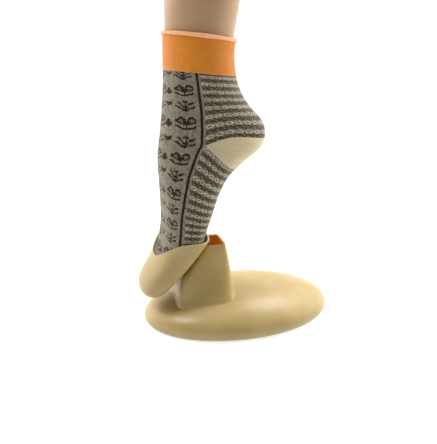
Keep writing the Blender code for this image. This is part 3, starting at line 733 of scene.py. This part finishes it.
def toe_cup(material):
    """The cup's wall, cut along its rim line, in one piece with its hook."""
    columns, rows = 176, 72
    angle = full_turn(columns)

    def cup_point(a, z):
        return foot_point(a, z, CUP_SECTIONS)

    def wall_middle(a, z):
        return cup_point(a, z) + outward(cup_point, a, z) * (CUP_INSIDE + CUP_WALL / 2)

    low = CUP_SECTIONS[0, 0]
    rim = meet(wall_middle, lambda x, _: between(CUP_RIM, x)[0], angle, *CUP_RIM_RANGE)
    # Rows lie closer together near the toes.
    share = np.linspace(0, 1, rows + 1)[:, None] ** 1.7
    height = low + (rim - low) * share
    spread = np.broadcast_to(angle, height.shape)
    normal = outward(cup_point, spread, np.maximum(height, low + RISE))
    places = cup_point(spread, height) + normal * (CUP_INSIDE + CUP_WALL)
    bm = wrapped(places)
    close_ends(bm, below=TOE_TIP_BELOW)
    face_out(bm)
    obj = piece("toe_cup_shell", bm, "toe_cup", [material], "toe_cup")
    wall(obj, CUP_WALL)
    soft_edges(obj, CUP_RIM_ROUNDING)
    applied(obj)
    hook = cup_hook(material)
    joined = obj.modifiers.new("hook", "BOOLEAN")
    joined.operation, joined.object, joined.solver = "UNION", hook, "EXACT"
    applied(obj)
    bpy.data.objects.remove(hook, do_unlink=True)
    obj.data.shade_smooth()
    sharp_corners(obj)


def cup_hook(material):
    """The hook that sits over the post's front rim, with its long edges rounded."""
    bm = bmesh.new()
    bm.faces.new([bm.verts.new((x, -HOOK_HALF_WIDTH, z)) for x, z in HOOK_OUTLINE])
    made = bmesh.ops.extrude_face_region(bm, geom=bm.faces[:])["geom"]
    moved = [item for item in made if isinstance(item, bmesh.types.BMVert)]
    bmesh.ops.translate(bm, vec=(0.0, 2 * HOOK_HALF_WIDTH, 0.0), verts=moved)
    bmesh.ops.recalc_face_normals(bm, faces=bm.faces)
    bmesh.ops.bevel(bm, geom=[*bm.verts, *bm.edges], offset=HOOK_ROUNDING, affect="EDGES",
                    segments=2, profile=0.5, material=-1)
    mesh = bpy.data.meshes.new("cup_hook")
    bm.to_mesh(mesh)
    bm.free()
    mesh.materials.append(material)
    obj = bpy.data.objects.new("cup_hook", mesh)
    bpy.context.scene.collection.objects.link(obj)
    return obj


# ---- the leg and its lid


def display_leg(material):
    """The foot and leg, as one skin with its wall inside, open at the top."""
    rows = 150
    angle = full_turn(LEG_COLUMNS)
    low, top = FOOT_SECTIONS[0, 0], FOOT_SECTIONS[-1, 0]
    height = low + (top - low) * np.linspace(0, 1, rows + 1)[:, None] ** 1.3
    bm = wrapped(foot_point(angle, height + 0 * angle))
    close_ends(bm, below=TOE_TIP_BELOW)
    face_out(bm)
    wall(piece("display_leg", bm, "foot_form", [material], "foot_form"), FORM_WALL)


def leg_lid(material):
    """A shallow lid on the open leg, with a rounded edge."""
    leg_top = FOOT_SECTIONS[-1, 0]
    rim = foot_point(full_turn(LEG_COLUMNS), np.full(LEG_COLUMNS + 1, leg_top))
    rim[:, 2] = 0.0
    middle = np.array([rim[:, 0].mean(), 0.0, 0.0])
    reach = np.linalg.norm(rim - middle, axis=1, keepdims=True)
    under = leg_top + LID_GAP
    low, over = under - LID_SKIRT, under + LID_THICKNESS
    # Each ring of the lid: how far inside the leg's outline, and how high.
    rings = [
        (LID_SKIRT_IN, under), (LID_SKIRT_IN, low), (LID_SKIRT_OUT, low), (LID_SKIRT_OUT, under),
        (LID_EDGE_INSET, under), (LID_EDGE_INSET, over), (LID_CROWN_INSET, over),
    ]
    bm = wrapped(np.array([middle + (rim - middle) * (1 - inset / reach) + [0.0, 0.0, height]
                           for inset, height in rings]))
    close_ends(bm)
    bmesh.ops.recalc_face_normals(bm, faces=bm.faces)
    obj = piece("leg_lid", bm, "foot_form", [material], "foot_form_top_cap")
    soft_edges(obj, LID_ROUNDING, 4)
    sharp_corners(obj)


# ---- knitting charts: "#" is the dark yarn, "x" brown, "o" pale, and "." the ground

SPRIG = [
    ".......#.......",
    "......###......",
    ".##...###...##.",
    "..##...#...##..",
    "..###..#..###..",
    "...###.#.###...",
    "....##.#.##....",
    "##...#####...##",
    "###...###...###",
    ".###..###..###.",
    "..####.#.####..",
    "....#######....",
    ".....#####.....",
    "......###......",
    ".......#.......",
]
BLOOM = [
    "..####...####..",
    ".######.######.",
    "###.###.###.###",
    "##...##.##...##",
    "##.##.###.##.##",
    "###.#######.###",
    ".####.###.####.",
    "...#########...",
    "......###......",
    "##.....#.....##",
    "###....#....###",
    ".####..#..####.",
    "..###########..",
    "....#######....",
]
TULIP = [
    "##...##",
    "###.###",
    "#######",
    "#######",
    ".#####.",
    "..###..",
    "..##...",
    "...#...",
    "..##...",
    "..##...",
    "...#...",
]
BUD = [
    "...#...",
    "..###..",
    "..#.#..",
    "..###..",
    ".##.##.",
    ".##.##.",
    "#######",
    "#######",
    ".#####.",
    "..###..",
]
BANDS = [
    "xxxx.xxxxx.x",
    "x.xxxxxxxxxx",
    "xxxxxx.xxxx.",
    "xx.xxxx.xxxx",
    "x.xx.xx.x.xx",
    ".x..x..x..x.",
    ".ooo..xooo..",
    "o.x.o.ox..ox",
    "ox..oxo.x.o.",
    ".ooo..xooox.",
    "..x..x..x..x",
]
YARNS = {".": 0.0, "#": 0.4, "o": 0.7, "x": 1.0}
# Wale of each column of motifs, and the motifs that take turns down it.
MOTIF_COLUMNS = [(0, SPRIG, BLOOM), (11, TULIP, BUD), (25, SPRIG, BLOOM)]


def yarn_at(wale, course):
    """The yarn of the stitch in this wale, counted from the middle of the instep, and course."""
    across = abs(wale)
    if across >= WALES_TO_CORNER:
        band = BANDS[int(course) % len(BANDS)]
        return YARNS[band[int(across - WALES_TO_CORNER) % len(band)]]
    if WALES_TO_LINE - 1 <= across < WALES_TO_LINE + 1:
        return YARNS["#"]
    turn = round((course - FIRST_MOTIF) / MOTIF_PITCH)
    for middle, *motifs in MOTIF_COLUMNS:
        chart = motifs[turn % len(motifs)]
        row = int(course - (FIRST_MOTIF + turn * MOTIF_PITCH) + len(chart) / 2)
        column = math.floor(across - middle + len(chart[0]) / 2)
        if 0 <= row < len(chart) and 0 <= column < len(chart[0]):
            return YARNS[chart[row][column]]
    return YARNS["."]


# ---- the sock


def course_shape(course, above):
    """The height of a course at a distance x along the foot. Behind the dark line it leans
    towards the cuff, or towards one edge of the heel."""
    height, slope = between(COURSE_LINE, course)
    front = between(FOOT_SECTIONS, height)[0]
    corner_x = straight(SIDE_LINE, height + slope * (SIDE_LINE_X - front)) + LINE_TO_CORNER
    if above:
        share = (course / COURSES_TO_HEEL) ** 2
        edge, other = HEEL_UP, CUFF_SLOPE
    else:
        share = (1 - (course - COURSES_TO_HEEL) / (COURSES_TO_TOE - COURSES_TO_HEEL)) ** 1.5
        edge, other = HEEL_DOWN, 0.0

    def line(x, _):
        behind = np.maximum(x - corner_x, 0.0)
        lean = (1 - share) * other * behind + share * between(edge, behind)[0]
        return height + slope * (np.minimum(x, corner_x) - front) + lean

    return line, corner_x


def lengths_along(points):
    """The length along each row of points, from its first point."""
    steps = np.linalg.norm(np.diff(points, axis=1), axis=2)
    return np.concatenate([np.zeros((len(steps), 1)), np.cumsum(steps, axis=1)], axis=1)


def wale_marks(wales, corner_x, points, length):
    """Where each wale lies along one row: evenly to the dark line, to the heel's corner behind it,
    and on to the middle of the back."""
    line, corner = np.interp([corner_x - LINE_TO_CORNER, corner_x], points[:, 0], length)
    return np.interp(wales, [0, WALES_TO_LINE, WALES_TO_CORNER, WALES_TO_BACK],
                     [0, line, corner, length[-1]])


def spaced_stitches(angle, height, corner_x, wales):
    """Angle and height of each wale along courses that are given densely from front to back."""
    points = foot_point(angle, height)
    length = lengths_along(points)
    angles, heights = [], []
    for row in range(len(points)):
        marks = wale_marks(wales, corner_x[row], points[row], length[row])
        angles.append(np.interp(marks, length[row], angle[row]))
        heights.append(np.interp(marks, length[row], height[row]))
    return np.array(angles), np.array(heights)


def both_sides(half):
    """Columns from the back round the near side to the front and round the far side to the back."""
    near = half[:, ::-1].copy()
    near[..., 1] = -np.abs(near[..., 1])
    far = half.copy()
    far[..., 1] = np.abs(far[..., 1])
    return np.concatenate([near, far[:, 1:]], axis=1)


def skin(angle, height, offset):
    """Points at an offset outside the form, with the middle of the front and back on the plane."""
    points = foot_point(angle, height)
    normal = outward(foot_point, angle, height)
    flat = np.abs(np.sin(angle)) < 1e-6
    normal[flat, 1] = 0.0
    points[flat, 1] = 0.0
    return points + normal * offset


def one_yarn(_, __):
    return YARNS["."]


def mark_yarns(bm, chart=one_yarn):
    """Writes each stitch's yarn on its face."""
    layer = bm.faces.layers.float.new("yarn")
    uv = bm.loops.layers.uv.verify()
    for face in bm.faces:
        middle = sum((loop[uv].uv for loop in face.loops), Vector((0, 0))) / len(face.loops)
        face[layer] = chart(middle.x, middle.y)


def body_half(first, last, above):
    """A sleeve's stitches, on one side of the heel."""
    courses = np.arange(first, last + 1, dtype=float)[:, None]
    line, corner_x = course_shape(courses, above)
    angle = np.linspace(math.pi, 0, 240) + 0 * courses
    height = meet(foot_point, line, angle, *SOCK_RANGE)
    angle, height = spaced_stitches(angle, height, corner_x[:, 0], np.arange(WALES_TO_BACK + 1))
    return both_sides(skin(angle, height, SOCK_SKIN))


def sock_body(material):
    """Leg and foot: two sleeves of stitches that share the instep and part round the heel."""
    upper = wrapped(body_half(0, COURSES_TO_HEEL, True), -WALES_TO_BACK, 0)
    lower = wrapped(body_half(COURSES_TO_HEEL, COURSES_TO_TOE, False), -WALES_TO_BACK,
                    COURSES_TO_HEEL)
    spare = bpy.data.meshes.new("lower")
    lower.to_mesh(spare)
    lower.free()
    upper.from_mesh(spare)
    bpy.data.meshes.remove(spare)
    bmesh.ops.remove_doubles(upper, verts=upper.verts, dist=3e-5)
    face_out(upper)
    mark_yarns(upper, yarn_at)
    obj = piece("sock_patterned_knit", upper, "foot_form", [material],
                "sock_body")
    wall(obj, KNIT_THICKNESS)


def heel_pocket(material):
    """Short courses that fan out from the corner on each side, from the upper edge to the lower."""
    share = np.linspace(0, 1, HEEL_COURSES + 1)[:, None]
    first = np.array([[float(COURSES_TO_HEEL)]])
    up_line, up_corner = course_shape(first, True)
    down_line, _ = course_shape(first, False)

    def line(x, y):
        return (1 - share) * up_line(x, y) + share * down_line(x, y)

    angle = np.linspace(math.pi, 0, 400) + 0 * share
    height = meet(foot_point, line, angle, *SOCK_RANGE)
    corner_x = np.full(len(share), up_corner[0, 0])
    wales = np.arange(WALES_TO_CORNER, WALES_TO_BACK + 1)
    angle, height = spaced_stitches(angle, height, corner_x, wales)
    # From the near side's corner round the back to the far side's.
    far = skin(angle, height, SOCK_SKIN)
    far[..., 1] = np.abs(far[..., 1])
    near = far * [1.0, -1.0, 1.0]
    bm = wrapped(np.concatenate([near, far[:, -2::-1]], axis=1))
    face_out(bm)
    mark_yarns(bm)
    obj = piece("sock_heel_pocket", bm, "foot_form", [material], "sock_heel")
    wall(obj, KNIT_THICKNESS)


def toe_pocket(material):
    """Level rounds from the last patterned course down to the tip of the toes."""
    rows = 60
    low, last = FOOT_SECTIONS[0, 0], COURSE_LINE[-1, 1]
    # Rows lie closer together near the tip.
    height = low + (last - low) * np.linspace(1, 0, rows + 1)[:, None] ** 1.5
    dense = np.linspace(math.pi, 0, 240)
    points = foot_point(dense + 0 * height, height + 0 * dense)
    length = lengths_along(points)
    corner_x = straight(SIDE_LINE, last) + LINE_TO_CORNER
    marks = wale_marks(np.arange(WALES_TO_BACK + 1), corner_x, points[0], length[0]) / length[0, -1]
    angle = np.array([np.interp(marks * row[-1], row, dense) for row in length])
    bm = wrapped(both_sides(skin(angle, height + 0 * angle, SOCK_SKIN)))
    close_ends(bm, below=TOE_TIP_BELOW)
    face_out(bm)
    mark_yarns(bm)
    obj = piece("sock_toe_pocket", bm, "foot_form", [material], "sock_toe")
    wall(obj, KNIT_THICKNESS)


def cuff_line(height):
    """A line round the leg that tilts down towards the heel."""
    return lambda x, _: height + CUFF_SLOPE * (x - CUFF_AXIS_X)


def rib_cuff(material, edge):
    """A ribbed band: the ribs stand up from the furrows between them."""
    rows = 30
    angle = full_turn(CUFF_COLUMNS)
    low = meet(foot_point, cuff_line(CUFF_BOTTOM), angle, *CUFF_RANGE)
    high = meet(foot_point, cuff_line(CUFF_TOP + CUFF_INTO_EDGE), angle, *CUFF_RANGE)
    share = np.linspace(1, 0, rows + 1)[:, None]
    height = low + (high - low) * share
    spread = np.broadcast_to(angle, height.shape)
    # The ribs fade out in the last sixteenth of the cuff, at its lower edge.
    rib = RIB_HEIGHT * np.cos(angle * RIBS) * np.sin(math.pi * np.clip(share * 8, 0, 0.5))
    off_form = (SOCK_SKIN + CUFF_OVER_BODY + rib)[..., None]
    bm = wrapped(foot_point(spread, height) + outward(foot_point, spread, height) * off_form)
    face_out(bm)
    mark_yarns(bm)
    obj = piece("sock_rib_cuff", bm, "foot_form", [material], "sock_cuff")
    wall(obj, KNIT_THICKNESS)


def rolled_edge(material):
    """Plain knit that rolls over on itself at the top of the cuff."""
    angle = full_turn(CUFF_COLUMNS)
    line = cuff_line(CUFF_TOP + EDGE_RADIUS + EDGE_ABOVE_CUFF)
    height = meet(foot_point, line, angle, *CUFF_RANGE)
    turn = full_turn(20)[:, None]
    # The roll is a little thicker in some places than in others, and follows the ribs.
    wave = 1 + 0.05 * np.sin(3 * angle + 1.0) + 0.04 * np.sin(7 * angle)
    radius = EDGE_RADIUS * wave * (1 + 0.025 * np.cos(angle * RIBS))
    out = (EDGE_OFF_FORM + EDGE_RADIUS + radius * np.cos(turn))[..., None]
    up = (radius * np.sin(turn))[..., None]
    places = foot_point(angle, height) + outward(foot_point, angle, height) * out
    bm = wrapped(places + np.array([0.0, 0.0, 1.0]) * up)
    bmesh.ops.recalc_face_normals(bm, faces=bm.faces)
    mark_yarns(bm)
    return piece("sock_rolled_edge", bm, "foot_form", [material],
                 "sock_cuff_edge")


def finish_cad_nodes():
    """The pieces under the base keep their shapes and get real surfaces."""
    finishes = {
        "base_bottom_cover": dark_polystyrene(),
        "anti_slip_pad": closed_cell_foam(),
        "ballast_plate": sand_cast_iron(),
    }
    plated = zinc_plated_steel()
    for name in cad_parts:
        if "screw" in name:
            finishes[name] = plated
    for name, material in finishes.items():
        obj = bpy.data.objects[name]
        obj.data.materials.clear()
        obj.data.materials.append(material)


def main():
    camera()
    studio()
    plastic = satin_polypropylene("moulded_polypropylene_tan", "#AC945C", "#B29B64", "#BBA572")
    # The inside of the post: its orange tones are painted bounce light, since the tan plastic turns
    # orange only where light bounces in the hollow, and its emission is painted light too.
    inside = satin_polypropylene("polypropylene_inside_painted_bounce_light", "#C8701C", "#D07A22", "#D8842C",
                                 painted_glow_strength=0.12)
    base_dome(plastic)
    hollow_post([plastic, inside])
    # The cup is the same plastic, in a darker copy that is painted shade, since it faces away from
    # the lamps.
    toe_cup(satin_polypropylene("moulded_polypropylene_cup_painted_shade", "#9E8753", "#A58E5B", "#AD9867"))
    skin_brown = rotomoulded_skin()
    display_leg(skin_brown)
    leg_lid(skin_brown)
    patterned = knit("heathered_cotton_jersey", ["#7D7665", "#1E1710", "#C1B8A2", "#483C2E"],
                     shade_share=0.45, fuzz=0.5)
    cream = knit("cream_cotton_jersey", ["#CEC09C"], shade_share=0.10, fuzz=0.6, course_share=0.16)
    orange = knit("orange_cotton_rib", ["#DE872B"], shade_share=0.12, fuzz=1.0)
    peach = knit("peach_cotton_jersey", ["#F9B987"], shade_share=0.08, fuzz=0.8)
    sock_body(patterned)
    heel_pocket(cream)
    toe_pocket(cream)
    rib_cuff(orange, rolled_edge(peach))
    finish_cad_nodes()


main()
